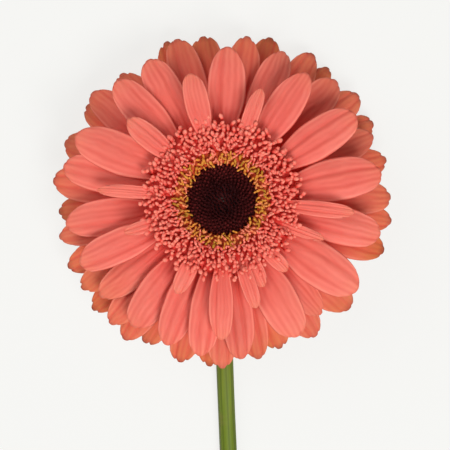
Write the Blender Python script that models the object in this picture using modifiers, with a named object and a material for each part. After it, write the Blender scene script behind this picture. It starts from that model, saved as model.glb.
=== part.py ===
"""A cut gerbera lying on a flat surface, face up.

The stem lies along -Y and bends up under the head. The head leans back towards +Y, so the
tips of its hindmost rays touch the surface there. Lengths are in metres, Z is up, and the
origin is on the surface under the middle of the whole flower.
"""

import math

import bmesh
import bpy
from mathutils import Matrix, Vector

# Whole flower
OVERALL_LENGTH = 0.428
HEAD_REACH = 0.0545  # from the top of the stem to the tips of the hindmost rays
HEAD_TILT = math.radians(9.0)  # lean of the head's axis from upright, towards +Y

# Stem, a leafless scape
STEM_TOP_RADIUS = 0.0029
STEM_FOOT_RADIUS = 0.0034
NECK_BEND_RADIUS = 0.0092
NECK_STRAIGHT = 0.0010  # straight end of the neck, square to the head
STEM_SWAY = 0.006  # sideways bow of the lying stem
STEM_STEPS = 34
NECK_STEPS = 9

# Receptacle and involucre, in the head's frame: heights run up the head's axis
SEAT_GAP = 0.0003
CUP_HEIGHT = 0.0098
CUP_NECK_RADIUS = 0.0034
CUP_RADIUS = 0.0131
CUP_STEPS = 6
RECEPTACLE_FOOT = 0.0104
RECEPTACLE_RADIUS = 0.0120
RECEPTACLE_TOP = 0.0198
TURN_STEPS = 28
BRACT_ROWS = (  # bracts in the row, height of their foot, height of their tip, width
    (13, 0.0018, 0.0092, 0.0040),
    (13, 0.0040, 0.0102, 0.0044),
)
BRACT_THICKNESS = 0.0008
BRACT_STEPS = 3
BRACT_BULGE = 0.14  # bow of a bract off its straight line, as a share of its length
BRACT_TIP_SHARE = 0.15

# Ray florets. A higher tier lies in front of a lower one.
RAY_THICKNESS = 0.0005
RAY_FOOT_RADIUS = RECEPTACLE_RADIUS + SEAT_GAP
RAY_CLAW_WIDTH = 0.0026
LOWEST_TIER_HEIGHT = 0.0113
TIER_SPACING = 0.00118
TOP_TIER = 6
FOOT_RISES = (math.radians(-4.0), math.radians(22.0))  # slope of the foot, lowest and top tier
TIP_RISES = (math.radians(-36.0), math.radians(-14.0))  # slope of the tip, lowest and top tier
ARCH_POWER = 1.3
RAY_STEPS = 7
RAY_LANES = 2
WIDEST_AT = 0.62
TIP_WIDTH_SHARE = 0.22
CROWN = 0.10  # how far a ray's edges fall below its midline, as a share of its half width
TIP_CLEARANCE = 0.0006  # midline above the surface where a tip rests on it

# Each ray: clock angle in degrees from +Y, reach and width in millimetres, tier
OUTER_RAYS = (
    (16, 56, 10.5, 0), (38, 56, 10, 0), (63.5, 56, 11, 0), (107, 56, 11.5, 0),
    (159, 52.5, 10.5, 0), (184, 55, 10, 0), (209, 53.5, 11, 0), (229.5, 56, 10.5, 0),
    (247, 55.5, 10, 0), (265.5, 54, 10.5, 0), (304.5, 54.5, 11, 0), (340, 55.5, 10.5, 0),
    (32, 56.5, 11, 1), (52.5, 56.5, 11.5, 1), (76.5, 55.5, 11.5, 1), (97.5, 56, 10.5, 1),
    (130.5, 55, 12, 1), (166.5, 53.5, 10, 1), (194, 55, 10.5, 1), (215, 56, 10, 1),
    (238, 54.5, 10.5, 1), (290.5, 55, 11.5, 1), (321.5, 53, 10.5, 1), (353.5, 54, 11.5, 1),
)
MIDDLE_RAYS = (
    (9, 54, 11, 2), (66.5, 53.5, 10.5, 2), (89, 55, 11.5, 2), (145.5, 54, 10.5, 2),
    (179.5, 55, 10.5, 2), (222, 54.5, 10.5, 2), (257.5, 54.5, 10, 2), (276.5, 55.5, 11.5, 2),
    (309.5, 55, 11.5, 2), (344.5, 54.5, 11, 2),
    (22.5, 52, 10.5, 3), (44.5, 53.5, 11.5, 3), (139, 49, 9, 3), (172.5, 52, 10, 3),
    (231.5, 50.5, 10, 3),
)
FRONT_RAYS = (
    (215.5, 50, 11.3, 4), (261, 51, 11.6, 4), (332.5, 51, 11, 4),
    (2, 49, 11.7, 5), (102, 52, 11.5, 5), (201.5, 50, 10.5, 5), (245.5, 50, 10.5, 5),
    (281.5, 52, 11, 5), (318.5, 51, 11, 5),
    (34, 48.5, 10.8, 6), (58, 50.5, 12, 6), (80.5, 51.5, 13, 6), (124, 52, 13.3, 6),
    (151, 50, 12.2, 6), (188.5, 50.5, 9.8, 6), (294.5, 51, 12.6, 6),
)
# Short rays grow among the disc florets: clock angle, reach, width
SHORT_RAYS = (
    (19, 37, 4.9), (95.5, 42, 4.8), (112.5, 34.5, 3.4), (139, 30.5, 4.6), (154, 30.5, 4.6),
    (163, 36, 4.8), (180.5, 44.5, 7.4), (205.5, 33, 5.5), (250, 32.5, 4), (275, 39.5, 4),
    (310.5, 39, 7.1), (345, 41, 7.5),
)
SHORT_RAY_FOOT = (0.0185, 0.0252)  # radius and height, inside the floret ring
SHORT_RAY_RISES = (math.radians(11.0), math.radians(-13.0))

# Disc, as (radius, height) profiles in the head's frame, each run down its outer side
DISC_FLOOR = RECEPTACLE_TOP + SEAT_GAP
BUD_PROFILE = (
    (0.0, 0.0240), (0.0060, 0.0247), (0.0106, 0.0247), (0.0119, 0.0238),
    (0.0108, 0.0222), (0.0084, DISC_FLOOR), (0.0, DISC_FLOOR),
)
ANTHER_PROFILE = (
    (0.0123, 0.0242), (0.0134, 0.0262), (0.0148, 0.0262), (0.0154, 0.0250),
    (0.0134, 0.0226), (0.0102, DISC_FLOOR), (0.0088, DISC_FLOOR), (0.0112, 0.0222),
    (0.0123, 0.0238),
)
FLORET_PROFILE = (
    (0.0158, 0.0256), (0.0172, 0.0276), (0.0205, 0.0286), (0.0232, 0.0282),
    (0.0243, 0.0269), (0.0226, 0.0246), (0.0165, 0.0217), (0.0118, DISC_FLOOR),
    (0.0106, DISC_FLOOR), (0.0138, 0.0226), (0.0158, 0.0251),
)

# Colour, roughness
MATERIALS = {
    "stem": ((0.20, 0.30, 0.07), 0.55),
    "bracts": ((0.16, 0.27, 0.08), 0.60),
    "ray": ((0.86, 0.24, 0.17), 0.50),
    "anthers": ((0.55, 0.33, 0.08), 0.60),
    "florets": ((0.84, 0.20, 0.16), 0.50),
    "buds": ((0.035, 0.010, 0.012), 0.70),
}


def clear_scene():
    for obj in list(bpy.data.objects):
        bpy.data.objects.remove(obj, do_unlink=True)


def new_collection(name):
    collection = bpy.data.collections.new(name)
    bpy.context.scene.collection.children.link(collection)
    return collection


def make_material(name):
    colour, roughness = MATERIALS[name]
    material = bpy.data.materials.new(name)
    material.use_nodes = True
    shader = material.node_tree.nodes["Principled BSDF"]
    shader.inputs["Base Color"].default_value = (*colour, 1.0)
    shader.inputs["Roughness"].default_value = roughness
    shader.inputs["Metallic"].default_value = 0.0
    return material


def add_object(name, data, collection, material, parent=None):
    obj = bpy.data.objects.new(name, data)
    collection.objects.link(obj)
    obj.data.materials.append(material)
    obj.parent = parent
    return obj


def hide_helper(obj):
    obj.hide_render = True
    obj.display_type = "WIRE"


def blend(pair, share):
    return pair[0] + (pair[1] - pair[0]) * share


def solidify(obj, thickness):
    modifier = obj.modifiers.new("Thickness", "SOLIDIFY")
    modifier.thickness = thickness
    modifier.offset = 0.0


def join_all(obj, helpers):
    """Boolean union of obj with everything in a helper collection."""
    union = obj.modifiers.new("Join", "BOOLEAN")
    union.operation = "UNION"
    union.operand_type = "COLLECTION"
    union.collection = helpers


def turned(name, profile, collection, material, head):
    """A profile turned about the head's axis. One that stays off the axis is closed into a ring."""
    mesh = bpy.data.meshes.new(name)
    edges = [(i, i + 1) for i in range(len(profile) - 1)]
    if profile[0][0] > 0:
        edges.append((len(profile) - 1, 0))
    mesh.from_pydata([(radius, 0, height) for radius, height in profile], edges, [])
    obj = add_object(name, mesh, collection, material, head)
    screw = obj.modifiers.new("Turn", "SCREW")
    screw.steps = screw.render_steps = TURN_STEPS
    screw.use_merge_vertices = True
    screw.merge_threshold = 0.00001
    screw.use_smooth_shade = True
    return obj


def arch(rises):
    """(outward, upward) points of an arc of length 1 whose slope turns from one rise to the other."""
    points = [(0.0, 0.0)]
    for i in range(RAY_STEPS):
        slope = blend(rises, ((i + 0.5) / RAY_STEPS) ** ARCH_POWER)
        outward, upward = points[-1]
        points.append((outward + math.cos(slope) / RAY_STEPS, upward + math.sin(slope) / RAY_STEPS))
    return points


def width_share(along, claw_share):
    """Width as a share of the widest, at a share of the way from the foot to the tip."""
    if along < WIDEST_AT:
        t = along / WIDEST_AT
        return blend((claw_share, 1.0), t * t * (3 - 2 * t))
    t = (along - WIDEST_AT) / (1 - WIDEST_AT)
    return math.sqrt(1 - (1 - TIP_WIDTH_SHARE**2) * t * t)


def ray_mesh(name, foot, rises, reach, width, lowest_tip=None):
    """An open strap: +Y is outward, +Z up the head's axis, with its foot at (radius, height)."""
    points = arch(rises)
    length = (reach - foot[0]) / points[-1][0]
    tip_height = foot[1] + length * points[-1][1]
    lift = 0.0 if lowest_tip is None else max(0.0, lowest_tip - tip_height)
    mesh = bpy.data.meshes.new(name)
    bm = bmesh.new()
    bmesh.ops.create_grid(bm, x_segments=RAY_LANES, y_segments=RAY_STEPS, size=1.0)
    for vertex in bm.verts:
        lane = vertex.co.x
        along = (vertex.co.y + 1) / 2
        outward, upward = points[round(along * RAY_STEPS)]
        half = width / 2 * width_share(along, RAY_CLAW_WIDTH / width)
        drop = CROWN * half * lane * lane
        vertex.co = (
            lane * half,
            foot[0] + length * outward,
            foot[1] + length * upward + lift * along * along - drop,
        )
    bmesh.ops.recalc_face_normals(bm, faces=bm.faces)
    bm.to_mesh(mesh)
    bm.free()
    mesh.shade_smooth()
    return mesh


def tip_floor(angle, reach, head):
    """Height up the head's axis at which a tip, at that clock angle, just rests on the surface."""
    sunk = reach * math.cos(angle) * math.sin(HEAD_TILT)
    return (TIP_CLEARANCE + sunk - head.location.z) / math.cos(HEAD_TILT)


def add_rays(group, rays, collection, material, head):
    for number, (clock, reach_mm, width_mm, tier) in enumerate(rays, 1):
        angle = math.radians(clock)
        reach = reach_mm / 1000
        foot = (RAY_FOOT_RADIUS, LOWEST_TIER_HEIGHT + tier * TIER_SPACING)
        rises = (blend(FOOT_RISES, tier / TOP_TIER), blend(TIP_RISES, tier / TOP_TIER))
        lowest_tip = tip_floor(angle, reach, head)
        mesh = ray_mesh(f"{group}_{number:02d}", foot, rises, reach, width_mm / 1000, lowest_tip)
        ray = add_object(mesh.name, mesh, collection, material, head)
        ray.rotation_euler.z = -angle
        solidify(ray, RAY_THICKNESS)


def add_floret_ring(collection, helpers, material, head):
    """The ring of disc florets, with the short rays that grow out of it."""
    ring = turned("disc_florets", FLORET_PROFILE, collection, material, head)
    for number, (clock, reach_mm, width_mm) in enumerate(SHORT_RAYS, 1):
        mesh = ray_mesh(
            f"short_ray_{number:02d}",
            SHORT_RAY_FOOT,
            SHORT_RAY_RISES,
            reach_mm / 1000,
            width_mm / 1000,
        )
        ray = add_object(mesh.name, mesh, helpers, material, head)
        ray.rotation_euler.z = -math.radians(clock)
        solidify(ray, RAY_THICKNESS)
        hide_helper(ray)
    join_all(ring, helpers)


def cup_radius(height):
    """Outside of the involucre's cup, which rounds out from the neck to its rim."""
    below_rim = 1 - height / CUP_HEIGHT
    return blend((CUP_NECK_RADIUS, CUP_RADIUS), (1 - below_rim**2) ** 0.375)


def involucre_profile():
    """The receptacle's column standing in the cup, from its top down to the neck."""
    points = [(0.0, RECEPTACLE_TOP), (RECEPTACLE_RADIUS, RECEPTACLE_TOP)]
    points.append((RECEPTACLE_RADIUS, RECEPTACLE_FOOT))
    for i in range(CUP_STEPS + 1):
        height = CUP_HEIGHT * (1 - math.sin(i / CUP_STEPS * math.pi / 2))
        points.append((cup_radius(height), height))
    points.append((0.0, 0.0))
    return points


def bract_mesh(name, length, width):
    """A lance-shaped scale: +Z is along it and +Y off the cup."""
    mesh = bpy.data.meshes.new(name)
    bm = bmesh.new()
    bmesh.ops.create_grid(bm, x_segments=2, y_segments=BRACT_STEPS, size=1.0)
    for vertex in bm.verts:
        along = (vertex.co.y + 1) / 2
        side = vertex.co.x * width / 2 * blend((1.0, BRACT_TIP_SHARE), along**1.6)
        bulge = BRACT_BULGE * length * along * (1 - along)
        vertex.co = (side, bulge - CROWN * abs(side), along * length)
    bmesh.ops.recalc_face_normals(bm, faces=bm.faces)
    bm.to_mesh(mesh)
    bm.free()
    return mesh


def add_involucre(collection, helpers, material, head):
    """The cup with the receptacle in it, and the bracts that clothe it in two staggered rows."""
    cup = turned("involucre", involucre_profile(), collection, material, head)
    for row, (count, foot, tip, width) in enumerate(BRACT_ROWS):
        foot_radius = cup_radius(foot) - 0.0002
        out = cup_radius(min(tip, CUP_HEIGHT)) + 0.0004 - foot_radius
        lean = math.atan2(out, tip - foot)
        for i in range(count):
            mesh = bract_mesh(f"bract_{row}_{i:02d}", math.hypot(out, tip - foot), width)
            bract = add_object(mesh.name, mesh, helpers, material, head)
            turn = (i + row / 2) / count * math.tau
            bract.matrix_local = (
                Matrix.Rotation(turn, 4, "Z")
                @ Matrix.Translation((0, foot_radius, foot))
                @ Matrix.Rotation(-lean, 4, "X")
            )
            solidify(bract, BRACT_THICKNESS)
            hide_helper(bract)
    join_all(cup, helpers)


def head_axis():
    return Vector((0, math.sin(HEAD_TILT), math.cos(HEAD_TILT)))


def stem_points(neck_y):
    """(point, radius) from the cut foot to the top of the neck, at neck_y."""
    foot_y = -OVERALL_LENGTH / 2
    axis = head_axis()
    bend_start = neck_y - axis.y * NECK_STRAIGHT - NECK_BEND_RADIUS * axis.z
    points = []
    for i in range(STEM_STEPS):
        share = i / STEM_STEPS
        radius = blend((STEM_FOOT_RADIUS, STEM_TOP_RADIUS), share)
        sway = STEM_SWAY * (math.sin(math.pi * share) ** 2 - 0.9 * (1 - share) ** 2)
        points.append((Vector((sway, blend((foot_y, bend_start), share), radius)), radius))
    for i in range(NECK_STEPS + 1):
        angle = (math.pi / 2 - HEAD_TILT) * i / NECK_STEPS
        y = bend_start + NECK_BEND_RADIUS * math.sin(angle)
        z = STEM_TOP_RADIUS + NECK_BEND_RADIUS * (1 - math.cos(angle))
        points.append((Vector((0, y, z)), STEM_TOP_RADIUS))
    points.append((points[-1][0] + axis * NECK_STRAIGHT, STEM_TOP_RADIUS))
    return points


def add_stem(points, collection, material):
    curve = bpy.data.curves.new("stem", "CURVE")
    curve.dimensions = "3D"
    curve.bevel_depth = 1.0
    curve.bevel_resolution = 4
    curve.use_fill_caps = True
    spline = curve.splines.new("POLY")
    spline.points.add(len(points) - 1)
    for target, (point, radius) in zip(spline.points, points):
        target.co = (*point, 1.0)
        target.radius = radius
    return add_object("stem", curve, collection, material)


def add_head_frame(neck_top, collection):
    """The head's frame: its origin is the foot of the involucre, its Z the head's axis."""
    head = bpy.data.objects.new("head_frame", None)
    collection.objects.link(head)
    head.location = neck_top + head_axis() * SEAT_GAP
    head.rotation_euler.x = -HEAD_TILT
    return head


def main():
    clear_scene()
    flower = new_collection("cut_gerbera")
    bracts = new_collection("bracts")
    short_rays = new_collection("short_rays")
    materials = {name: make_material(name) for name in MATERIALS}

    points = stem_points(OVERALL_LENGTH / 2 - HEAD_REACH)
    head = add_head_frame(points[-1][0], flower)
    add_stem(points, flower, materials["stem"])
    add_involucre(flower, bracts, materials["bracts"], head)
    add_rays("outer_ray", OUTER_RAYS, flower, materials["ray"], head)
    add_rays("middle_ray", MIDDLE_RAYS, flower, materials["ray"], head)
    add_rays("front_ray", FRONT_RAYS, flower, materials["ray"], head)
    add_floret_ring(flower, short_rays, materials["florets"], head)
    turned("anther_ring", ANTHER_PROFILE, flower, materials["anthers"], head)
    turned("disc_buds", BUD_PROFILE, flower, materials["buds"], head)


main()
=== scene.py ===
"""Looks of the cut gerbera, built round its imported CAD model. Lengths are in metres.

Every floret is built in the head's frame: Z runs up the head's axis, and the clock angle is
measured from +Y. Colours are linear RGB.
"""

import math

import bpy
import numpy as np
from mathutils import Matrix, Vector


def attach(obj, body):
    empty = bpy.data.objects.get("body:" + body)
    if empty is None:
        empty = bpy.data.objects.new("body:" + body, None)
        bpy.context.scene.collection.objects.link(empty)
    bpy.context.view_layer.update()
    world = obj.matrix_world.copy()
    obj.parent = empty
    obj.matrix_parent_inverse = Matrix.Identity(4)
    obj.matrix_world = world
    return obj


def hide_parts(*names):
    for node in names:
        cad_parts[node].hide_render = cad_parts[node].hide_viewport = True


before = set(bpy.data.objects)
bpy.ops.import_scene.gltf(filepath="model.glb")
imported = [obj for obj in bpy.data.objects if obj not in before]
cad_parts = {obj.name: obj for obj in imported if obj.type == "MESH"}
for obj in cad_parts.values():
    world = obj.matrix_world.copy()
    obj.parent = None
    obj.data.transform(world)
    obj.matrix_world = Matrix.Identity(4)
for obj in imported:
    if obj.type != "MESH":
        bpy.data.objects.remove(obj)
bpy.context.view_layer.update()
rng = np.random.default_rng(7)

# Driving sizes of the whole flower
OVERALL_LENGTH = 0.428
HEAD_REACH = 0.0545
HEAD_TILT = math.radians(9.0)
STEM_TOP_RADIUS = 0.0029
STEM_FOOT_RADIUS = 0.0034
NECK_BEND_RADIUS = 0.0092
NECK_STRAIGHT = 0.0010
STEM_SWAY = 0.006
SEAT_GAP = 0.0003
CUP_HEIGHT = 0.0098
CUP_NECK_RADIUS = 0.0034
CUP_RADIUS = 0.0131
RECEPTACLE_RADIUS = 0.0120
RECEPTACLE_FOOT = 0.0104
RECEPTACLE_TOP = 0.0198
RAY_FOOT_RADIUS = RECEPTACLE_RADIUS + SEAT_GAP
RAY_CLAW_WIDTH = 0.0026
LOWEST_TIER_HEIGHT = 0.0113
TIER_SPACING = 0.00118
TOP_TIER = 6
FOOT_RISES = (math.radians(-4.0), math.radians(22.0))
TIP_RISES = (math.radians(-36.0), math.radians(-14.0))
ARCH_POWER = 1.3
TIP_CLEARANCE = 0.0006

# Each ray: clock angle in degrees from +Y, reach and width in millimetres, tier
RAYS = {
    "outer": (
        (16, 56, 10.5, 0), (38, 56, 10, 0), (63.5, 56, 11, 0), (107, 56, 11.5, 0),
        (159, 52.5, 10.5, 0), (184, 55, 10, 0), (209, 53.5, 11, 0), (229.5, 56, 10.5, 0),
        (247, 55.5, 10, 0), (265.5, 54, 10.5, 0), (304.5, 54.5, 11, 0), (340, 55.5, 10.5, 0),
        (32, 56.5, 11, 1), (52.5, 56.5, 11.5, 1), (76.5, 55.5, 11.5, 1), (97.5, 56, 10.5, 1),
        (130.5, 55, 12, 1), (166.5, 53.5, 10, 1), (194, 55, 10.5, 1), (215, 56, 10, 1),
        (238, 54.5, 10.5, 1), (290.5, 55, 11.5, 1), (321.5, 53, 10.5, 1), (353.5, 54, 11.5, 1),
    ),
    "middle": (
        (9, 54, 11, 2), (66.5, 53.5, 10.5, 2), (89, 55, 11.5, 2), (145.5, 54, 10.5, 2),
        (179.5, 55, 10.5, 2), (222, 54.5, 10.5, 2), (257.5, 54.5, 10, 2), (276.5, 55.5, 11.5, 2),
        (309.5, 55, 11.5, 2), (344.5, 54.5, 11, 2),
        (22.5, 52, 10.5, 3), (44.5, 53.5, 11.5, 3), (139, 49, 9, 3), (172.5, 52, 10, 3),
        (231.5, 50.5, 10, 3),
    ),
    "front": (
        (215.5, 50, 11.3, 4), (261, 51, 11.6, 4), (332.5, 51, 11, 4),
        (2, 49, 11.7, 5), (102, 52, 11.5, 5), (201.5, 50, 10.5, 5), (245.5, 50, 10.5, 5),
        (281.5, 52, 11, 5), (318.5, 51, 11, 5),
        (34, 48.5, 10.8, 6), (58, 50.5, 12, 6), (80.5, 51.5, 13, 6), (124, 52, 13.3, 6),
        (151, 50, 12.2, 6), (188.5, 50.5, 9.8, 6), (294.5, 51, 12.6, 6),
    ),
}
# Short rays among the disc florets: clock angle, reach and width, as above
SHORT_RAYS = (
    (19, 37, 4.9), (95.5, 42, 4.8), (112.5, 34.5, 3.4), (139, 30.5, 4.6), (154, 30.5, 4.6),
    (163, 36, 4.8), (180.5, 44.5, 7.4), (205.5, 33, 5.5), (250, 32.5, 4), (275, 39.5, 4),
    (310.5, 39, 7.1), (345, 41, 7.5),
)
SHORT_RAY_FOOT = (0.0150, 0.0235)
SHORT_RAY_RISES = (math.radians(26.0), math.radians(-16.0))
SHORT_RAY_GROOVE_PAINTED_SHADE = 0.5  # how dark the painted shade in their grooves is, next to a long ray's
SHORT_RAY_TONE = 0.3

# Finer shape of a ray. Where two values differ by tier, the lowest tier's comes first. Places
# across a ray run from 0 on the midline to 1 at the edge, and places along it from foot to tip.
RAY_LANES = 26
RAY_STEPS = 40
RAY_THICKNESS = 0.00026
BLADE_WIDENING = 1.07  # the soft blade is a little fuller than its plain CAD solid
BLADE_LENGTHENING = 0.0007
WIDEST_AT = 0.64
TIP_SHARE = 0.74  # width at the tip, before its corners are rounded off
TIP_ROUNDING = 0.105  # how far the tip's corners fall back, as a share of the length
TIP_ROUNDING_RANGE = (0.8, 1.25)
TIP_ROUNDING_POWER = 2.1
TIP_ROUNDING_FROM = 0.25
NOTCH_DEPTHS = (0.017, 0.006)  # between the tip's three teeth, as a share of the length
NOTCH_RANGE = (0.5, 1.5)
NOTCH_WIDTH = 0.11
NOTCH_POWER = 10
MOST_SKEW = 0.03  # of the tip, as a share of the length
MOST_BEND = 0.0006
MOST_TWIST = 0.07
CROWNS = (0.15, 0.24)  # fall of the edges, as a share of the half width
CROWN_FROM = 0.05
CROWN_LENGTH = 0.6
TROUGH = 0.22  # rise of the edges near the foot, as a share of the half width
TROUGH_LENGTH = 0.45
GROOVE_AT = 0.36
GROOVES = ((-GROOVE_AT, 1.0), (GROOVE_AT, 1.0), (0.0, 0.45))  # place across, weight
GROOVE_DRIFT = 0.09
GROOVE_RANGE = (0.45, 1.15)
GROOVE_WIDTH = 0.13
GROOVE_DEPTHS = (0.00087, 0.00058)
GROOVE_LENGTH = 0.3  # over which a groove sets in
GROOVE_FADING = 0.35
EDGE_RISE = 0.00016
EDGE_AT = 0.96
EDGE_WIDTH = 0.06
EDGE_WAVE = (0.00022, 9)  # height, turns of phase along the ray
BLADE_WAVE = (0.00012, 17)
DEEP_UP_TO = (0.92, 0.33)  # how far along the deep red of the foot reaches; it is partly painted shade, and reaches furthest on the low tiers that lie under the others
DEEP_FROM = 0.06
FOOT_EDGE_SHADE = (0.30, 0.7)  # more of it, as painted shade, at the edges near the foot, up to this place along
WARM_TIERS = 3.6  # tiers over which the orange of the lowest one fades out
WARM_JITTER = 0.12


def head_axis():
    return Vector((0, math.sin(HEAD_TILT), math.cos(HEAD_TILT)))


NECK_TOP_Y = OVERALL_LENGTH / 2 - HEAD_REACH
BEND_START_Y = NECK_TOP_Y - head_axis().y * NECK_STRAIGHT - NECK_BEND_RADIUS * head_axis().z
BEND_TURN = math.pi / 2 - HEAD_TILT
NECK_TOP_Z = (
    STEM_TOP_RADIUS + NECK_BEND_RADIUS * (1 - math.cos(BEND_TURN)) + head_axis().z * NECK_STRAIGHT
)
HEAD_ORIGIN = Vector((0, NECK_TOP_Y, NECK_TOP_Z)) + head_axis() * SEAT_GAP
HEAD = Matrix.Translation(HEAD_ORIGIN) @ Matrix.Rotation(-HEAD_TILT, 4, "X")


def blend(pair, share):
    return pair[0] + (pair[1] - pair[0]) * share


def smooth(x):
    x = np.clip(x, 0, 1)
    return x * x * (3 - 2 * x)


def hump(x, middle, width):
    return np.exp(-(((x - middle) / width) ** 2))


def unit(vectors):
    return vectors / np.linalg.norm(vectors, axis=-1, keepdims=True)


def circle_angles(sides):
    return np.arange(sides) / sides * math.tau


def revolve(radius, height, angle):
    """Points of a turned surface. radius and height have a row for each level."""
    around = (radius * np.cos(angle), radius * np.sin(angle), height)
    return np.stack(np.broadcast_arrays(*around), axis=-1)


# ---------------------------------------------------------------- meshes


class Patches:
    """Gathers grids of points into one mesh, with float attributes on the points."""

    def __init__(self):
        self.points = []
        self.faces = []
        self.values = {}
        self.count = 0

    def add(self, grid, values, wrap=False, first_cap=False, last_cap=False):
        """grid is rows x columns x 3. With wrap, the last column joins the first."""
        rows, columns = grid.shape[:2]
        index = self.count + np.arange(rows * columns).reshape(rows, columns)
        right = np.roll(index, -1, axis=1) if wrap else index[:, 1:]
        left = index if wrap else index[:, :-1]
        quads = np.stack([left[:-1], right[:-1], right[1:], left[1:]], axis=-1)
        self.faces += quads.reshape(-1, 4).tolist()
        if first_cap:
            self.faces.append(index[0, ::-1].tolist())
        if last_cap:
            self.faces.append(index[-1].tolist())
        self.points.append(grid.reshape(-1, 3))
        for name, value in values.items():
            full = np.broadcast_to(value, (rows, columns)).ravel()
            self.values.setdefault(name, []).append(full)
        self.count += rows * columns

    def add_closed(self, grid, values):
        self.add(grid, values, wrap=True, first_cap=True, last_cap=True)

    def build(self, name, material, matrix=None, thickness=0.0):
        mesh = bpy.data.meshes.new(name)
        mesh.from_pydata(np.concatenate(self.points).tolist(), [], self.faces)
        for key, values in self.values.items():
            layer = mesh.attributes.new(key, "FLOAT", "POINT")
            layer.data.foreach_set("value", np.concatenate(values).astype(np.float32))
        mesh.shade_smooth()
        mesh.materials.append(material)
        if matrix is not None:
            mesh.transform(matrix)
        obj = link(name, mesh)
        if thickness:
            solid = obj.modifiers.new("Thickness", "SOLIDIFY")
            solid.thickness = thickness
            solid.offset = 0.0
        return obj


def link(name, data):
    obj = bpy.data.objects.new(name, data)
    bpy.context.scene.collection.objects.link(obj)
    return obj


def place(piece, slot, *nodes):
    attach(piece, "root")
    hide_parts(*nodes)


# ------------------------------------------------------------- materials


class Shader:
    """A Principled material with short ways to add its nodes."""

    def __init__(self, name):
        self.material = bpy.data.materials.new(name)
        self.material.use_nodes = True
        self.nodes = self.material.node_tree.nodes
        self.links = self.material.node_tree.links
        self.surface = self.nodes["Principled BSDF"]

    def feed(self, socket, value):
        if hasattr(value, "is_output"):
            self.links.new(value, socket)
        else:
            socket.default_value = value

    def attribute(self, name):
        node = self.nodes.new("ShaderNodeAttribute")
        node.attribute_name = name
        return node.outputs["Fac"]

    def math(self, operation, a, b=0.0, clamp=False):
        node = self.nodes.new("ShaderNodeMath")
        node.operation = operation
        node.use_clamp = clamp
        self.feed(node.inputs[0], a)
        self.feed(node.inputs[1], b)
        return node.outputs[0]

    def times(self, a, b, clamp=False):
        return self.math("MULTIPLY", a, b, clamp)

    def remap(self, value, low, high, to_low=0.0, to_high=1.0):
        node = self.nodes.new("ShaderNodeMapRange")
        node.interpolation_type = "SMOOTHSTEP"
        for socket, given in zip(node.inputs, (value, low, high, to_low, to_high)):
            self.feed(socket, given)
        return node.outputs[0]

    def ramp(self, value, stops):
        node = self.nodes.new("ShaderNodeValToRGB")
        elements = node.color_ramp.elements
        while len(elements) < len(stops):
            elements.new(0.5)
        for element, (position, colour) in zip(elements, stops):
            element.position = position
            element.color = (*colour, 1.0)
        self.feed(node.inputs[0], value)
        return node.outputs[0]

    def mix(self, share, a, b):
        node = self.nodes.new("ShaderNodeMix")
        node.data_type = "RGBA"
        self.feed(node.inputs[0], share)
        self.feed(node.inputs[6], a if hasattr(a, "is_output") else (*a, 1.0))
        self.feed(node.inputs[7], b if hasattr(b, "is_output") else (*b, 1.0))
        return node.outputs[2]

    def noise(self, scale, detail=3.0, stretch=None):
        coordinates = self.nodes.new("ShaderNodeTexCoord")
        node = self.nodes.new("ShaderNodeTexNoise")
        node.inputs["Scale"].default_value = scale
        node.inputs["Detail"].default_value = detail
        source = coordinates.outputs["Object"]
        if stretch is not None:
            mapping = self.nodes.new("ShaderNodeMapping")
            mapping.inputs["Scale"].default_value = stretch
            self.links.new(source, mapping.inputs["Vector"])
            source = mapping.outputs["Vector"]
        self.links.new(source, node.inputs["Vector"])
        return node.outputs["Fac"]

    def bump(self, height, distance, strength):
        node = self.nodes.new("ShaderNodeBump")
        node.inputs["Strength"].default_value = strength
        node.inputs["Distance"].default_value = distance
        self.links.new(height, node.inputs["Height"])
        self.links.new(node.outputs["Normal"], self.surface.inputs["Normal"])

    def finish(self, colour, roughness, subsurface=0.0, specular=0.35, sheen=0.0):
        self.feed(self.surface.inputs["Base Color"], colour)
        self.feed(self.surface.inputs["Roughness"], roughness)
        self.surface.inputs["Specular IOR Level"].default_value = specular
        self.surface.inputs["Subsurface Weight"].default_value = subsurface
        self.surface.inputs["Subsurface Radius"].default_value = SUBSURFACE_RADIUS
        self.surface.inputs["Subsurface Scale"].default_value = SUBSURFACE_SCALE
        self.surface.inputs["Sheen Weight"].default_value = sheen
        return self.material


SUBSURFACE_RADIUS = (1.0, 0.35, 0.22)
SUBSURFACE_SCALE = 0.0012

PETAL_CORAL = (
    (0.0, (0.74, 0.110, 0.085)), (0.50, (0.80, 0.150, 0.112)), (0.85, (0.83, 0.190, 0.138)),
    (1.0, (0.82, 0.225, 0.140)),
)
PETAL_ORANGE = (
    (0.0, (0.60, 0.060, 0.030)), (0.80, (0.68, 0.165, 0.062)), (0.94, (0.62, 0.180, 0.055)),
    (1.0, (0.22, 0.060, 0.014)),
)
PETAL_VEIN = (0.62, 0.060, 0.048)
PETAL_GROOVE_PAINTED_SHADE = (0.60, 0.050, 0.036)
PETAL_FOOT_RED_AND_SHADE = (0.74, 0.010, 0.005)
PETAL_RIM_HIGHLIGHT = (0.96, 0.33, 0.24)
PETAL_EDGE_SHADOW = (0.56, 0.040, 0.022)
PETAL_DULL = (0.62, 0.080, 0.065)
PETAL_PALE = (0.90, 0.27, 0.19)
FLORET_TUBE_TO_LIP = (
    (0.0, (0.40, 0.003, 0.002)), (0.40, (0.70, 0.016, 0.010)), (0.56, (0.80, 0.070, 0.050)),
    (0.78, (0.93, 0.225, 0.165)), (1.0, (0.98, 0.310, 0.220)),
)
FLORET_SHADE = (0.66, 0.060, 0.045)
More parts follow.
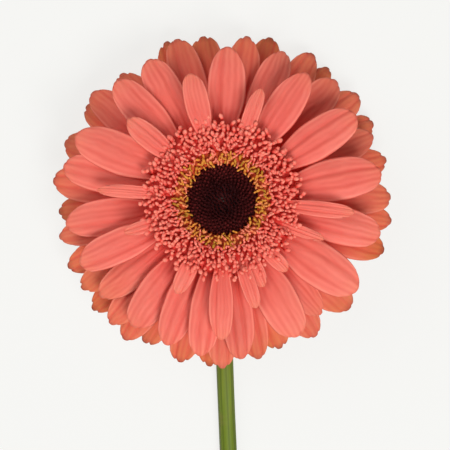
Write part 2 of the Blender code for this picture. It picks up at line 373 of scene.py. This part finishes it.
ANTHER_TINTS = (  # olive, gold and tan, and then the salmon of those that are still closed
    (0.0, (0.40, 0.20, 0.016)), (0.26, (0.74, 0.31, 0.045)), (0.48, (0.62, 0.24, 0.028)),
    (0.66, (0.74, 0.27, 0.07)), (0.82, (0.86, 0.24, 0.11)), (1.0, (0.92, 0.24, 0.16)),
)
ANTHER_FOOT = (0.62, 0.075, 0.022)
BUD_OUTER = ((0.052, 0.004, 0.004), (0.140, 0.014, 0.013))
BUD_INNER = ((0.008, 0.002, 0.003), (0.026, 0.004, 0.006))
BUD_CENTRE_HIGHLIGHT = (0.07, 0.09, 0.07)
STEM_GREENS = (
    (0.0, (0.14, 0.11, 0.025)), (0.12, (0.115, 0.145, 0.008)), (0.7, (0.120, 0.170, 0.007)),
    (1.0, (0.180, 0.245, 0.035)),
)
STEM_STREAK = (0.25, 0.31, 0.035)
STEM_RIB_PAINTED_SHADE = (0.050, 0.080, 0.006)
STEM_BROWN = (0.24, 0.16, 0.06)
STEM_FLANK_PAINTED_SHADE = (0.070, 0.100, 0.004)
STEM_PITH = ((0.0, (0.17, 0.23, 0.06)), (0.3, (0.42, 0.46, 0.22)), (1.0, (0.62, 0.62, 0.42)))
BRACT_GREENS = (
    (0.0, (0.16, 0.24, 0.06)), (0.6, (0.11, 0.20, 0.045)), (0.9, (0.10, 0.14, 0.04)),
    (1.0, (0.20, 0.07, 0.04)),
)
BRACT_MARGIN = (0.30, 0.38, 0.15)
BRACT_DOWN = (0.42, 0.48, 0.28)


def petal_material():
    """Coral, with a deep red foot that is partly painted shade. A low tier turns orange towards its
    tip. The grooves and the very edges carry painted shade, and a band just inside each edge carries
    a painted highlight.
    """
    s = Shader("petal")
    along = s.attribute("along")
    across = s.attribute("across")
    warm = s.times(s.attribute("warm"), s.remap(along, 0.35, 0.95))
    body = s.mix(warm, s.ramp(along, PETAL_CORAL), s.ramp(along, PETAL_ORANGE))

    drift = s.times(s.noise(110.0, 2.0), 0.55)
    waves = s.math("SINE", s.times(s.math("ADD", across, drift), 21.0))
    half_waves = s.times(waves, 0.5)
    blotch = s.noise(190.0, 4.0)
    vein_shade = s.times(s.math("ADD", half_waves, 0.5), s.times(blotch, 0.50))
    body = s.mix(vein_shade, body, PETAL_VEIN)
    # painted shade in the lengthwise grooves, darker where they are deeper
    body = s.mix(s.times(s.attribute("groove"), 0.70, clamp=True), body, PETAL_GROOVE_PAINTED_SHADE)
    # deep red of the foot: partly its own colour, partly painted shade under and between the petals
    body = s.mix(s.times(s.attribute("foot_red_and_shade"), 0.95), body, PETAL_FOOT_RED_AND_SHADE)

    side = s.math("ABSOLUTE", across)
    # painted highlight: a pale band just inside each edge of the petal
    rim_highlight = s.times(s.remap(side, 0.80, 0.90, 0.0, 0.36), s.remap(side, 0.92, 0.97, 1.0, 0.0))
    body = s.mix(rim_highlight, body, PETAL_RIM_HIGHLIGHT)
    # painted shadow: a thin dark red line along the very edge, where a petal overlaps the one
    # beneath
    body = s.mix(s.remap(side, 0.95, 1.0, 0.0, 0.55), body, PETAL_EDGE_SHADOW)
    body = s.mix(s.times(s.attribute("tone"), 0.16), body, PETAL_DULL)
    body = s.mix(s.remap(s.noise(70.0, 2.0), 0.35, 0.7, 0.0, 0.16), body, PETAL_PALE)
    s.bump(s.math("ADD", half_waves, s.noise(900.0, 2.0)), 0.00006, 0.7)
    roughness = s.remap(blotch, 0.2, 0.8, 0.46, 0.64)
    return s.finish(body, roughness, subsurface=0.16, specular=0.18)


def floret_material():
    """Pale lips on deep red tubes."""
    s = Shader("disc_floret")
    body = s.ramp(s.attribute("along"), FLORET_TUBE_TO_LIP)
    body = s.mix(s.times(s.attribute("shade"), 0.40), body, FLORET_SHADE)
    s.bump(s.noise(1500.0, 2.0), 0.00005, 0.6)
    roughness = s.remap(s.noise(700.0), 0.3, 0.7, 0.42, 0.60)
    return s.finish(body, roughness, subsurface=0.20, specular=0.2)


def anther_material():
    """Golden and olive tubes, some still salmon."""
    s = Shader("anther")
    tint = s.ramp(s.attribute("shade"), ANTHER_TINTS)
    body = s.mix(s.remap(s.attribute("along"), 0.25, 0.75), ANTHER_FOOT, tint)
    s.bump(s.noise(2600.0, 3.0), 0.00008, 0.8)
    roughness = s.remap(s.noise(900.0), 0.3, 0.7, 0.50, 0.75)
    return s.finish(body, roughness, subsurface=0.10, specular=0.2)


def bud_material():
    """Maroon black buds; the grey at the middle of the disc is a painted highlight."""
    s = Shader("disc_bud")
    middle = s.attribute("middle")
    outer = s.mix(s.attribute("shade"), *BUD_OUTER)
    inner = s.mix(s.attribute("shade"), *BUD_INNER)
    body = s.mix(s.remap(middle, 0.1, 0.7), outer, inner)
    # painted highlight: a small grey patch at the very middle of the disc
    body = s.mix(s.remap(middle, 0.87, 1.0, 0.0, 0.7), body, BUD_CENTRE_HIGHLIGHT)
    s.bump(s.noise(3000.0, 3.0), 0.00006, 0.8)
    return s.finish(body, s.remap(s.noise(800.0), 0.3, 0.7, 0.6, 0.85), specular=0.10)


def stem_material():
    """Green with lengthwise streaks, browner towards the cut, and pale pith on the cut face. Painted
    shade darkens the valleys between the ribs and both flanks.
    """
    s = Shader("scape")
    cut = s.attribute("cut")
    body = s.ramp(s.attribute("along"), STEM_GREENS)
    streak = s.noise(900.0, 4.0, (1.0, 0.035, 1.0))
    body = s.mix(s.remap(streak, 0.42, 0.68, 0.0, 0.40), body, STEM_STREAK)
    # painted shade in the valleys between the ribs
    body = s.mix(s.remap(s.attribute("rib"), 0.0, 0.5, 0.5, 0.0), body, STEM_RIB_PAINTED_SHADE)
    body = s.mix(s.remap(s.noise(140.0, 3.0), 0.56, 0.75, 0.0, 0.35), body, STEM_BROWN)
    body = s.mix(s.remap(cut, 0.001, 0.02), body, s.ramp(cut, STEM_PITH))
    # painted shade along both flanks of the stem, darker towards its outline as seen from above
    body = s.mix(s.remap(s.attribute("flank_shade"), 0.55, 1.0, 0.0, 0.6), body, STEM_FLANK_PAINTED_SHADE)
    s.bump(s.math("ADD", streak, s.times(s.noise(2400.0, 3.0), 0.5)), 0.00012, 0.7)
    roughness = s.remap(streak, 0.3, 0.7, 0.48, 0.66)
    return s.finish(body, roughness, subsurface=0.05, specular=0.22, sheen=0.04)


def bract_material():
    """Downy green scales with a paler margin and a dull red tip."""
    s = Shader("bract")
    side = s.math("ABSOLUTE", s.attribute("across"))
    fuzz = s.noise(2200.0, 4.0)
    body = s.ramp(s.attribute("along"), BRACT_GREENS)
    body = s.mix(s.remap(side, 0.7, 1.0, 0.0, 0.5), body, BRACT_MARGIN)
    body = s.mix(s.remap(fuzz, 0.5, 0.75, 0.0, 0.35), body, BRACT_DOWN)
    s.bump(fuzz, 0.00015, 0.9)
    return s.finish(body, s.remap(fuzz, 0.3, 0.7, 0.6, 0.8), subsurface=0.05, sheen=0.3)


# ---------------------------------------------------------- ray florets

ARCH_STEPS = 200


def arch(rises, along):
    """(outward, upward) at shares of the way along an arc of length 1."""
    fine = np.linspace(0, 1, ARCH_STEPS + 1)
    slope = blend(rises, ((fine[1:] + fine[:-1]) / 2) ** ARCH_POWER)
    outward = np.concatenate([[0], np.cumsum(np.cos(slope)) / ARCH_STEPS])
    upward = np.concatenate([[0], np.cumsum(np.sin(slope)) / ARCH_STEPS])
    return np.interp(along, fine, outward), np.interp(along, fine, upward)


def width_share(along, claw_share):
    """Width along a ray, as a share of its widest."""
    rising = blend((claw_share, 1.0), smooth(along / WIDEST_AT))
    past = np.clip((along - WIDEST_AT) / (1 - WIDEST_AT), 0, 1)
    return np.where(along < WIDEST_AT, rising, np.sqrt(1 - (1 - TIP_SHARE**2) * past**3))


def toothed_lengths(u, v, share, skew):
    """Place along the ray of each grid point, which shapes the rounded, three-toothed tip."""
    side = np.abs(u)
    rounding = TIP_ROUNDING * rng.uniform(*TIP_ROUNDING_RANGE) * side**TIP_ROUNDING_POWER
    rounding = rounding * smooth((v - TIP_ROUNDING_FROM) / (1 - TIP_ROUNDING_FROM))
    notch = blend(NOTCH_DEPTHS, share) * rng.uniform(*NOTCH_RANGE)
    notch = notch * hump(side, GROOVE_AT, NOTCH_WIDTH)
    return v * (1 - rounding - notch * v**NOTCH_POWER + skew * u * v**4)


def groove_pattern(u, v):
    """How deep the lengthwise grooves are, about 1 at the deepest."""
    pattern = 0.0
    for middle, weight in GROOVES:
        at = middle + rng.uniform(-GROOVE_DRIFT, GROOVE_DRIFT)
        pattern = pattern + weight * rng.uniform(*GROOVE_RANGE) * hump(u, at, GROOVE_WIDTH)
    return pattern * smooth(v / GROOVE_LENGTH) * (1 - GROOVE_FADING * v)


def ripples(u, v, spread):
    """Waves along the two edges, opposite in sign, and fainter ones over the blade."""
    side = np.abs(u)
    phase = rng.uniform(0, math.tau, 3)
    edges = EDGE_WAVE[0] * side**2 * spread * np.sin(EDGE_WAVE[1] * v + phase[0])
    return edges * np.sign(u + 1e-9) + BLADE_WAVE[0] * side * np.sin(BLADE_WAVE[1] * v + phase[1])


def petal_grid(foot, rises, reach, width, lowest_tip, share):
    """(points, attributes) of a ray: X across, Y outward, Z up the head's axis.

    foot is (radius, height), and share is the ray's tier, from 0 at the bottom to 1 at the top.
    """
    v = np.linspace(0, 1, RAY_STEPS + 1)[:, None]
    u = np.linspace(-1, 1, RAY_LANES + 1)[None, :]
    side = np.abs(u)
    skew, bend, twist = (rng.uniform(-most, most) for most in (MOST_SKEW, MOST_BEND, MOST_TWIST))
    along = toothed_lengths(u, v, share, skew)
    end_outward, end_upward = arch(rises, 1.0)
    length = (reach + BLADE_LENGTHENING - foot[0]) / end_outward
    lift = max(0.0, lowest_tip - (foot[1] + length * end_upward))
    outward, upward = arch(rises, along)

    half = BLADE_WIDENING * width / 2 * width_share(v, RAY_CLAW_WIDTH / width)
    spread = smooth((v - CROWN_FROM) / CROWN_LENGTH)
    crown = blend(CROWNS, share) * half * side**2 * spread
    trough = TROUGH * half * side**2 * (1 - smooth(v / TROUGH_LENGTH))
    edge = EDGE_RISE * hump(side, EDGE_AT, EDGE_WIDTH) * spread
    grooves = groove_pattern(u, v)
    relief = trough - crown - blend(GROOVE_DEPTHS, share) * grooves + edge
    relief = relief + ripples(u, v, spread) + twist * u * half * v
    z = foot[1] + length * upward + lift * along**2 + relief
    points = np.broadcast_arrays(u * half + bend * v * v, foot[0] + length * outward, z)

    # Deep red of the foot, partly painted shade; the edges near the foot get more painted shade.
    foot_red_and_shade = 1 - smooth((along - DEEP_FROM) / blend(DEEP_UP_TO, share))
    foot_red_and_shade = foot_red_and_shade + FOOT_EDGE_SHADE[0] * side**2 * (1 - smooth(along / FOOT_EDGE_SHADE[1]))
    values = {
        "along": np.clip(along, 0, 1),
        "across": u,
        "groove": grooves,
        "foot_red_and_shade": np.clip(foot_red_and_shade, 0, 1),
    }
    return np.stack(points, axis=-1), values


def build_petal(name, material, clock, grid, values):
    patches = Patches()
    patches.add(grid, values)
    turn = HEAD @ Matrix.Rotation(-math.radians(clock), 4, "Z")
    return patches.build(name, material, turn, RAY_THICKNESS)


def tip_floor(clock, reach):
    """Lowest height, in the head's frame, at which a ray's tip clears the ground."""
    sunk = reach * math.cos(math.radians(clock)) * math.sin(HEAD_TILT)
    return (TIP_CLEARANCE + sunk - HEAD_ORIGIN.z) / math.cos(HEAD_TILT)


def build_rays(material):
    for group, rays in RAYS.items():
        for number, (clock, reach_mm, width_mm, tier) in enumerate(rays, 1):
            share = tier / TOP_TIER
            reach = reach_mm / 1000
            foot = (RAY_FOOT_RADIUS, LOWEST_TIER_HEIGHT + tier * TIER_SPACING)
            rises = (blend(FOOT_RISES, share), blend(TIP_RISES, share))
            lowest_tip = tip_floor(clock, reach)
            grid, values = petal_grid(foot, rises, reach, width_mm / 1000, lowest_tip, share)
            warm = 1.0 - tier / WARM_TIERS + rng.uniform(-WARM_JITTER, WARM_JITTER)
            values["warm"] = np.clip(warm, 0, 1)
            values["tone"] = rng.uniform(0, 1)
            petal = build_petal(f"petal_{group}_{number:02d}", material, clock, grid, values)
            place(petal, "ray", f"{group}_ray_{number:02d}")


def build_short_rays(material):
    for number, (clock, reach_mm, width_mm) in enumerate(SHORT_RAYS, 1):
        grid, values = petal_grid(
            SHORT_RAY_FOOT, SHORT_RAY_RISES, reach_mm / 1000, width_mm / 1000, -1.0, 1.0
        )
        # the painted shade in the grooves is fainter on a short ray
        values["groove"] = SHORT_RAY_GROOVE_PAINTED_SHADE * values["groove"]
        values["warm"] = 0.0
        values["tone"] = SHORT_RAY_TONE
        petal = build_petal(f"short_ray_{number:02d}", material, clock, grid, values)
        place(petal, "florets", "disc_florets")


# --------------------------------------------------------- disc florets

STALK_STEPS = 4
STALK_RADIUS = 0.00028
LIP_STEPS = 8
LIP_SWELLING = 0.6  # share of the lip over which it swells
LIP_ROUNDING = (0.62, 0.385)  # where its end starts to round off, and over what share of it
LEAST_RADIUS = 0.00003
SECOND_LIP_CHANCE = 0.75
SECOND_LIP_LENGTH = 0.75
SECOND_LIP_WIDTH = 0.8
SECOND_LIP_TURN = (2.0, 4.2)  # from the first one, in radians

# Rows of open florets: radius and height of the mouths in millimetres, how many, half width
FLORET_ROWS = (
    (15.7, 25.7, 62, 0.44), (16.9, 26.2, 66, 0.47), (18.2, 26.6, 68, 0.50), (19.6, 26.8, 70, 0.53),
    (21.0, 26.8, 70, 0.56), (22.4, 26.6, 68, 0.60), (23.9, 26.1, 62, 0.64), (25.6, 25.5, 34, 0.68),
)
FLORET_LIP = 0.0025
FLORET_CURLS = (0.9, 2.8)
FLORET_SIDES = 8
# The same for the opening florets inside them
ANTHER_ROWS = (
    (11.6, 24.2, 46, 0.38), (12.7, 24.9, 50, 0.38), (13.6, 25.4, 52, 0.40), (14.6, 25.8, 54, 0.42),
)
ANTHER_LIP = 0.0019
ANTHER_CURLS = (1.6, 3.6)
ANTHER_SIDES = 7
# Beds under them: radius and height in millimetres, top side first, and then the way back
FLORET_BED = (
    (15.2, 21.4), (15.8, 24.3), (18.0, 25.5), (20.5, 25.9), (22.8, 25.5), (24.2, 24.3),
    (22.8, 23.2), (19.0, 21.6), (15.6, 20.6),
)
ANTHER_BED = (
    (11.5, 20.5), (11.8, 22.8), (13.2, 24.0), (15.0, 24.5), (16.0, 23.6), (15.6, 20.9), (12.4, 20.3),
)


def sweep(path, widths, side, sides):
    """A round tube along a path, whose cross sections start from the direction side."""
    tangent = unit(np.gradient(path, axis=0))
    normal = unit(np.cross(tangent, side))
    across = np.cross(normal, tangent)
    angle = circle_angles(sides)[None, :, None]
    ring = np.cos(angle) * across[:, None, :] + np.sin(angle) * normal[:, None, :]
    return path[:, None, :] + ring * widths[:, None, None]


def curled_floret(clock, foot, mouth, lip, lean, curl):
    """(path, direction across it) from the foot to the mouth, both (radius, height).

    From the mouth on, a lip of the given length curls by curl towards the direction lean.
    """
    turn = math.radians(clock)
    outward = np.array([math.sin(turn), math.cos(turn), 0.0])
    start, end = (outward * radius + np.array([0, 0, height]) for radius, height in (foot, mouth))
    stalk = start + (end - start) * np.linspace(0, 1, STALK_STEPS, endpoint=False)[:, None]
    heading = turn + lean
    ahead = np.array([math.sin(heading), math.cos(heading), 0.0])
    angle = curl * (np.arange(LIP_STEPS) + 0.5)[:, None] / LIP_STEPS
    step = np.cos(angle) * np.array([0, 0, 1.0]) + np.sin(angle) * ahead
    bend = end + np.cumsum(step, axis=0) * lip / LIP_STEPS
    return np.concatenate([stalk, [end], bend]), np.array([ahead[1], -ahead[0], 0.0])


def rounded_end(t, rounding, least):
    """1, falling to the square root of least as a round end does."""
    start, over = rounding
    return np.sqrt(np.clip(1 - np.clip((t - start) / over, 0, 1) ** 2, least, 1))


def lip_widths(lip):
    """Radii along a curled floret: a slender stalk, then a rounded lip."""
    t = np.linspace(0, 1, LIP_STEPS + 1)
    swell = STALK_RADIUS + (lip - STALK_RADIUS) * smooth(t / LIP_SWELLING)
    rounded = np.maximum(swell * rounded_end(t, LIP_ROUNDING, 0.0), LEAST_RADIUS)
    return np.concatenate([np.full(STALK_STEPS, STALK_RADIUS), rounded])


def fluted_bed(profile, sides, flutes, depth):
    """A closed ring under the florets, with flutes for their massed tubes."""
    radius, height = np.array(profile).T[:, :, None] / 1000
    angle = -circle_angles(sides)
    grid = revolve(radius, height + depth * np.cos(flutes * angle), angle)
    return np.concatenate([grid, grid[:1]])


def floret_row(patches, row, foot, lip, curls, sides):
    """One circle of curled florets. row is (radius, height, count, half width) in mm."""
    radius, height, count, size = row
    for i in range(count):
        clock = i / count * 360 + radius * 77 + rng.uniform(-1.9, 1.9)
        mouth_radius = (radius + rng.uniform(-0.5, 0.5)) / 1000
        mouth = (mouth_radius, (height + rng.uniform(-0.7, 0.4)) / 1000)
        half = size / 1000 * rng.uniform(0.8, 1.2)
        lips = 2 if rng.uniform() < SECOND_LIP_CHANCE else 1
        lean = rng.uniform(-1.0, 1.0)
        shade = rng.uniform(0, 1)
        for second in range(lips):
            length = lip * rng.uniform(0.7, 1.25) * (SECOND_LIP_LENGTH if second else 1.0)
            heading = lean + second * rng.uniform(*SECOND_LIP_TURN)
            path, side = curled_floret(clock, foot, mouth, length, heading, rng.uniform(*curls))
            widths = lip_widths(half * (SECOND_LIP_WIDTH if second else 1.0))
            along = np.linspace(0, 1, len(path))[:, None]
            patches.add_closed(sweep(path, widths, side, sides), {"along": along, "shade": shade})


def build_floret_ring(material):
    patches = Patches()
    bed = fluted_bed(FLORET_BED, sides=320, flutes=80, depth=0.00018)
    patches.add(bed, {"along": 0.46, "shade": 0.6}, wrap=True)
    for row in FLORET_ROWS:
        foot = (0.0118 + row[0] * 0.0003, RECEPTACLE_TOP + 0.0022)
        floret_row(patches, row, foot, FLORET_LIP, FLORET_CURLS, FLORET_SIDES)
    ring = patches.build("trans_florets", material, HEAD)
    place(ring, "florets", "disc_florets")


def build_anther_ring(material):
    patches = Patches()
    bed = fluted_bed(ANTHER_BED, sides=180, flutes=60, depth=0.00012)
    patches.add(bed, {"along": 0.2, "shade": 0.5}, wrap=True)
    for row in ANTHER_ROWS:
        foot = (row[0] * 0.00094, RECEPTACLE_TOP + 0.0012)
        floret_row(patches, row, foot, ANTHER_LIP, ANTHER_CURLS, ANTHER_SIDES)
    ring = patches.build("anther_tubes", material, HEAD)
    place(ring, "anthers", "anther_ring")


BUD_COUNT = 300
BUD_DISC_RADIUS = 0.0113
BUD_FOOT = 0.0208
BUD_FOOT_SHARE = 0.93  # a bud's foot stands nearer the axis than its top, by this share
BUD_TOP = 0.0236
BUD_TOP_RISE = 0.0011  # halfway out, so that the disc is sunk in the middle
BUD_TOP_JITTER = 0.0003
BUD_RADII = (0.00032, 0.00044)  # in the middle and at the rim
BUD_LEAN = 0.00012
BUD_STEPS = 8
BUD_SIDES = 7
BUD_ROUNDING = (0.62, 0.385)
BUD_BED = (
    (0.02, 21.8), (4.0, 22.0), (8.0, 22.2), (11.2, 22.1), (12.2, 21.5), (11.8, 20.8), (10.0, 20.1),
)
BUD_BED_SIDES = 48
GOLDEN_ANGLE = math.pi * (3 - math.sqrt(5))


def bud_grid(radius, angle, top, size):
    """A bud that leans outward a little and ends in a round top."""
    t = np.linspace(0, 1, BUD_STEPS)
    outward = np.array([math.sin(angle), math.cos(angle), 0.0])
    base = outward * radius * BUD_FOOT_SHARE + np.array([0, 0, BUD_FOOT])
    tip = outward * radius + np.array([0, 0, top])
    tip[:2] += rng.uniform(-BUD_LEAN, BUD_LEAN, 2)
    path = base + (tip - base) * t[:, None]
    swell = size * rounded_end(t, BUD_ROUNDING, 0.004)
    return path[:, None, :] + revolve(swell[:, None], 0.0, circle_angles(BUD_SIDES))


def build_buds(material):
    """Unopened florets packed in a spiral, over the bed that they grow from."""
    patches = Patches()
    for i in range(BUD_COUNT):
        share = math.sqrt((i + 0.5) / BUD_COUNT)
        top = BUD_TOP + BUD_TOP_RISE * math.sin(math.pi * share) ** 2
        top += rng.uniform(-BUD_TOP_JITTER, BUD_TOP_JITTER)
        size = blend(BUD_RADII, share) * rng.uniform(0.9, 1.1)
        bud = bud_grid(BUD_DISC_RADIUS * share, i * GOLDEN_ANGLE, top, size)
        patches.add_closed(bud, {"shade": rng.uniform(0, 1), "middle": 1 - share})
    radius, height = np.array(BUD_BED).T[:, :, None] / 1000
    bed = revolve(radius, height, -circle_angles(BUD_BED_SIDES))
    patches.add_closed(bed, {"shade": 0.0, "middle": 0.0})
    buds = patches.build("bud_disc", material, HEAD)
    place(buds, "buds", "disc_buds")


# ------------------------------------------------- involucre and scape

CUP_SIDES = 120
CUP_LEVELS = 16
CUP_FOOT = 0.0001
HUB_RADIUS = 0.0004  # of the small flat middle of a cap
SCAR_DEPTH = 0.00014  # ridges on the receptacle's wall, where the rays stand
SCARS_AROUND = 40
SCAR_SLANT = 900
SCAR_LEVELS = (0.0108, 0.0194, 8)
BRACT_ROWS = (  # bracts, foot height, tip height, width, tip's stand-off from the cup
    (14, 0.0006, 0.0062, 0.0030, 0.0009),
    (16, 0.0018, 0.0094, 0.0036, 0.0008),
    (18, 0.0036, 0.0112, 0.0040, 0.0004),
)
BRACT_STEPS = 15
BRACT_LANES = 9
BRACT_THICKNESS = 0.00035
BRACT_STAGGER = 0.37
BRACT_CROWN = 0.0003


def cup_radius(height):
    below_rim = 1 - height / CUP_HEIGHT
    return CUP_NECK_RADIUS + (CUP_RADIUS - CUP_NECK_RADIUS) * (1 - below_rim**2) ** 0.375


def build_cup(material):
    heights = CUP_HEIGHT * np.sin(np.linspace(0.02, math.pi / 2, CUP_LEVELS))
    radii = np.array([HUB_RADIUS, *map(cup_radius, heights), RECEPTACLE_RADIUS])
    levels = np.array([CUP_FOOT, *heights, RECEPTACLE_FOOT])
    patches = Patches()
    cup = revolve(radii[:, None], levels[:, None], circle_angles(CUP_SIDES))
    patches.add_closed(cup, {"along": 0.3, "across": 0.0})
    place(patches.build("cup", material, HEAD), "bracts", "involucre")


def build_receptacle(material):
    """The short column that the rays stand round, in the red of their feet."""
    wall = np.linspace(*SCAR_LEVELS)
    levels = np.array([RECEPTACLE_FOOT, RECEPTACLE_FOOT, *wall, RECEPTACLE_TOP])[:, None]
    radii = np.full(len(levels), RECEPTACLE_RADIUS)[:, None]
    radii[0] = radii[-1] = HUB_RADIUS
    angle = circle_angles(CUP_SIDES)
    scars = SCAR_DEPTH * np.cos(SCARS_AROUND * angle + SCAR_SLANT * levels)
    column = revolve(radii + scars * (radii > HUB_RADIUS), levels, angle)
    patches = Patches()
    patches.add_closed(column, {"along": 0.30, "shade": 0.5})
    place(patches.build("receptacle", material, HEAD), "ray", "involucre")


def build_bracts(material):
    """Three overlapping rows of lance-shaped scales on the cup."""
    patches = Patches()
    v = np.linspace(0, 1, BRACT_STEPS)[:, None]
    u = np.linspace(-1, 1, BRACT_LANES)[None, :]
    outline = (0.75 + 0.5 * v - 0.4 * v * v) * np.sqrt(np.clip(1 - v**3.2, 0.002, 1))
    for row, (count, foot, tip, width, stand) in enumerate(BRACT_ROWS):
        for i in range(count):
            turn = (i + BRACT_STAGGER * row) / count * math.tau + rng.uniform(-0.05, 0.05)
            height = foot + (tip + rng.uniform(-0.0006, 0.0004) - foot) * v
            on_cup = np.array([cup_radius(min(h, CUP_HEIGHT)) for h in height.ravel()])[:, None]
            out = on_cup + SEAT_GAP + stand * v**2 + BRACT_CROWN * (1 - u**2) * (1 - 0.5 * v)
            spin = turn + u * width / 2 * outline / out
            points = np.broadcast_arrays(out * np.sin(spin), out * np.cos(spin), height)
            patches.add(np.stack(points, axis=-1), {"along": v, "across": u})
    bracts = patches.build("bracts", material, HEAD, BRACT_THICKNESS)
    place(bracts, "bracts", "involucre")


STEM_STEPS = 240
STEM_NECK_STEPS = 24
STEM_SIDES = 44
STEM_RIBS = 9
RIB_TWIST = 0.5
RIB_HEIGHT = 0.022  # as a share of the radius
STEM_SLIMMING = 0.975  # keeps the ribs within the CAD solid
STEM_SWELLS = ((0.012, 23, 1.0), (0.008, 61, 0.0))  # share of the radius, waves, phase
NECK_SHARE = 0.96  # share of the way along at which the bend starts, for the colours
CUT_RINGS = (  # share of the radius, depth into the stem
    (0.04, 0.0002), (0.35, 0.00015), (0.70, 0.0), (0.93, -0.00012), (1.0, 0.0),
)
RIM_CUT = 1.02
STEM_WELD = 0.000005


def stem_line():
    """(points, radii, share from foot to neck) down the middle of the scape."""
    foot_y = -OVERALL_LENGTH / 2
    lying = np.linspace(0, 1, STEM_STEPS, endpoint=False)
    radius = blend((STEM_FOOT_RADIUS, STEM_TOP_RADIUS), lying)
    sway = STEM_SWAY * (np.sin(math.pi * lying) ** 2 - 0.9 * (1 - lying) ** 2)
    flat = np.stack([sway, blend((foot_y, BEND_START_Y), lying), radius], axis=-1)
    angle = np.linspace(0, BEND_TURN, STEM_NECK_STEPS)
    bend_y = BEND_START_Y + NECK_BEND_RADIUS * np.sin(angle)
    bend_z = STEM_TOP_RADIUS + NECK_BEND_RADIUS * (1 - np.cos(angle))
    bend = np.stack([0 * angle, bend_y, bend_z], axis=-1)
    top = bend[-1:] + np.array(head_axis()) * (NECK_STRAIGHT + SEAT_GAP)
    points = np.concatenate([flat, bend, top])
    radii = np.concatenate([radius, np.full(STEM_NECK_STEPS + 1, STEM_TOP_RADIUS)])
    share = np.concatenate([lying * NECK_SHARE, np.linspace(NECK_SHARE, 1, STEM_NECK_STEPS + 1)])
    return points, radii, share


def build_stem(material):
    """A ribbed tube, closed under the head, with a slightly sunk cut face at its foot."""
    points, radii, share = stem_line()
    tangent = unit(np.gradient(points, axis=0))
    across = unit(np.cross(tangent, np.array([1.0, 0.0, 0.0])))
    side = np.cross(across, tangent)
    angle = circle_angles(STEM_SIDES)
    rib = 0.5 + 0.5 * np.cos(STEM_RIBS * (angle[None, :] + RIB_TWIST * share[:, None]))
    swell = 1 + sum(size * np.sin(waves * share + phase) for size, waves, phase in STEM_SWELLS)
    radius = radii[:, None] * (STEM_SLIMMING * swell[:, None] + RIB_HEIGHT * (rib - 0.5))
    ring = np.cos(angle)[None, :, None] * side[:, None, :]
    ring = ring + np.sin(angle)[None, :, None] * across[:, None, :]
    grid = points[:, None, :] + radius[..., None] * ring
    values = {"along": share[:, None], "rib": rib, "cut": 0.0, "flank_shade": np.abs(np.cos(angle))}
    patches = Patches()
    patches.add(grid, values, wrap=True, last_cap=True)

    rings, depths = np.array(CUT_RINGS).T[:, :, None]
    face = points[0] + (grid[0][None] - points[0]) * rings[..., None]
    face = face + depths[..., None] * tangent[0]
    values = {"along": 0.0, "rib": 1.0, "cut": RIM_CUT - rings, "flank_shade": 0.0}
    patches.add(face, values, wrap=True, first_cap=True)
    stem = patches.build("scape", material)
    weld = stem.modifiers.new("Weld", "WELD")
    weld.merge_threshold = STEM_WELD
    place(stem, "stem", "stem")


# ---------------------------------------------- floor, light and camera

FLOOR_HALF = 6.0
FLOOR_COLOUR = (0.12, 0.12, 0.118, 1.0)
FLOOR_GLOW = ((1.0, 1.0, 0.975, 1.0), 0.785)  # keeps the floor pale, with hardly any shadow
WORLD_STRENGTH = 0.20
LIGHTS = (  # name, location, size, power
    ("key", (0.30, -0.25, 1.05), 0.55, 11.2),
    ("fill", (-0.55, 0.55, 0.8), 0.8, 4.4),
)
SENSOR_WIDTH = 36.0
CAMERA_DISTANCE = 0.75
VIEW_WIDTH = 0.1468  # at the height below
VIEW_HEIGHT = 0.016  # up the head's axis, near the tips of the rays
VIEW_OFFSET = (0.00095, -0.0083)  # from the head's axis to the middle of the view


def build_floor():
    half = FLOOR_HALF
    corners = [(-half, -half, 0), (half, -half, 0), (half, half, 0), (-half, half, 0)]
    mesh = bpy.data.meshes.new("floor")
    mesh.from_pydata(corners, [], [(0, 1, 2, 3)])
    floor = link("floor", mesh)
    s = Shader("floor")
    colour, strength = FLOOR_GLOW
    s.surface.inputs["Emission Color"].default_value = colour
    s.surface.inputs["Emission Strength"].default_value = strength
    mesh.materials.append(s.finish(FLOOR_COLOUR, 0.9, specular=0.0))


def build_lights():
    world = bpy.data.worlds.new("studio")
    bpy.context.scene.world = world
    world.use_nodes = True
    background = world.node_tree.nodes["Background"]
    background.inputs["Color"].default_value = (1.0, 1.0, 1.0, 1.0)
    background.inputs["Strength"].default_value = WORLD_STRENGTH
    for name, location, size, power in LIGHTS:
        data = bpy.data.lights.new(name, "AREA")
        data.energy = power
        data.size = size
        light = link(name, data)
        light.location = location
        aim = HEAD_ORIGIN - Vector(location)
        light.rotation_euler = aim.to_track_quat("-Z", "Y").to_euler()


def build_camera():
    """Looks straight down the head's axis."""
    data = bpy.data.cameras.new("camera")
    data.sensor_width = SENSOR_WIDTH
    data.lens = SENSOR_WIDTH * CAMERA_DISTANCE / VIEW_WIDTH
    data.clip_start = 0.01
    camera = link("camera", data)
    camera.matrix_world = HEAD @ Matrix.Translation((*VIEW_OFFSET, VIEW_HEIGHT + CAMERA_DISTANCE))
    bpy.context.scene.camera = camera
    bpy.context.scene.view_settings.view_transform = "Standard"


build_camera()
petal = petal_material()
build_rays(petal)
build_short_rays(petal)
floret = floret_material()
build_floret_ring(floret)
build_anther_ring(anther_material())
build_buds(bud_material())
bract = bract_material()
build_cup(bract)
build_receptacle(floret)
build_bracts(bract)
build_stem(stem_material())
build_floor()
build_lights()
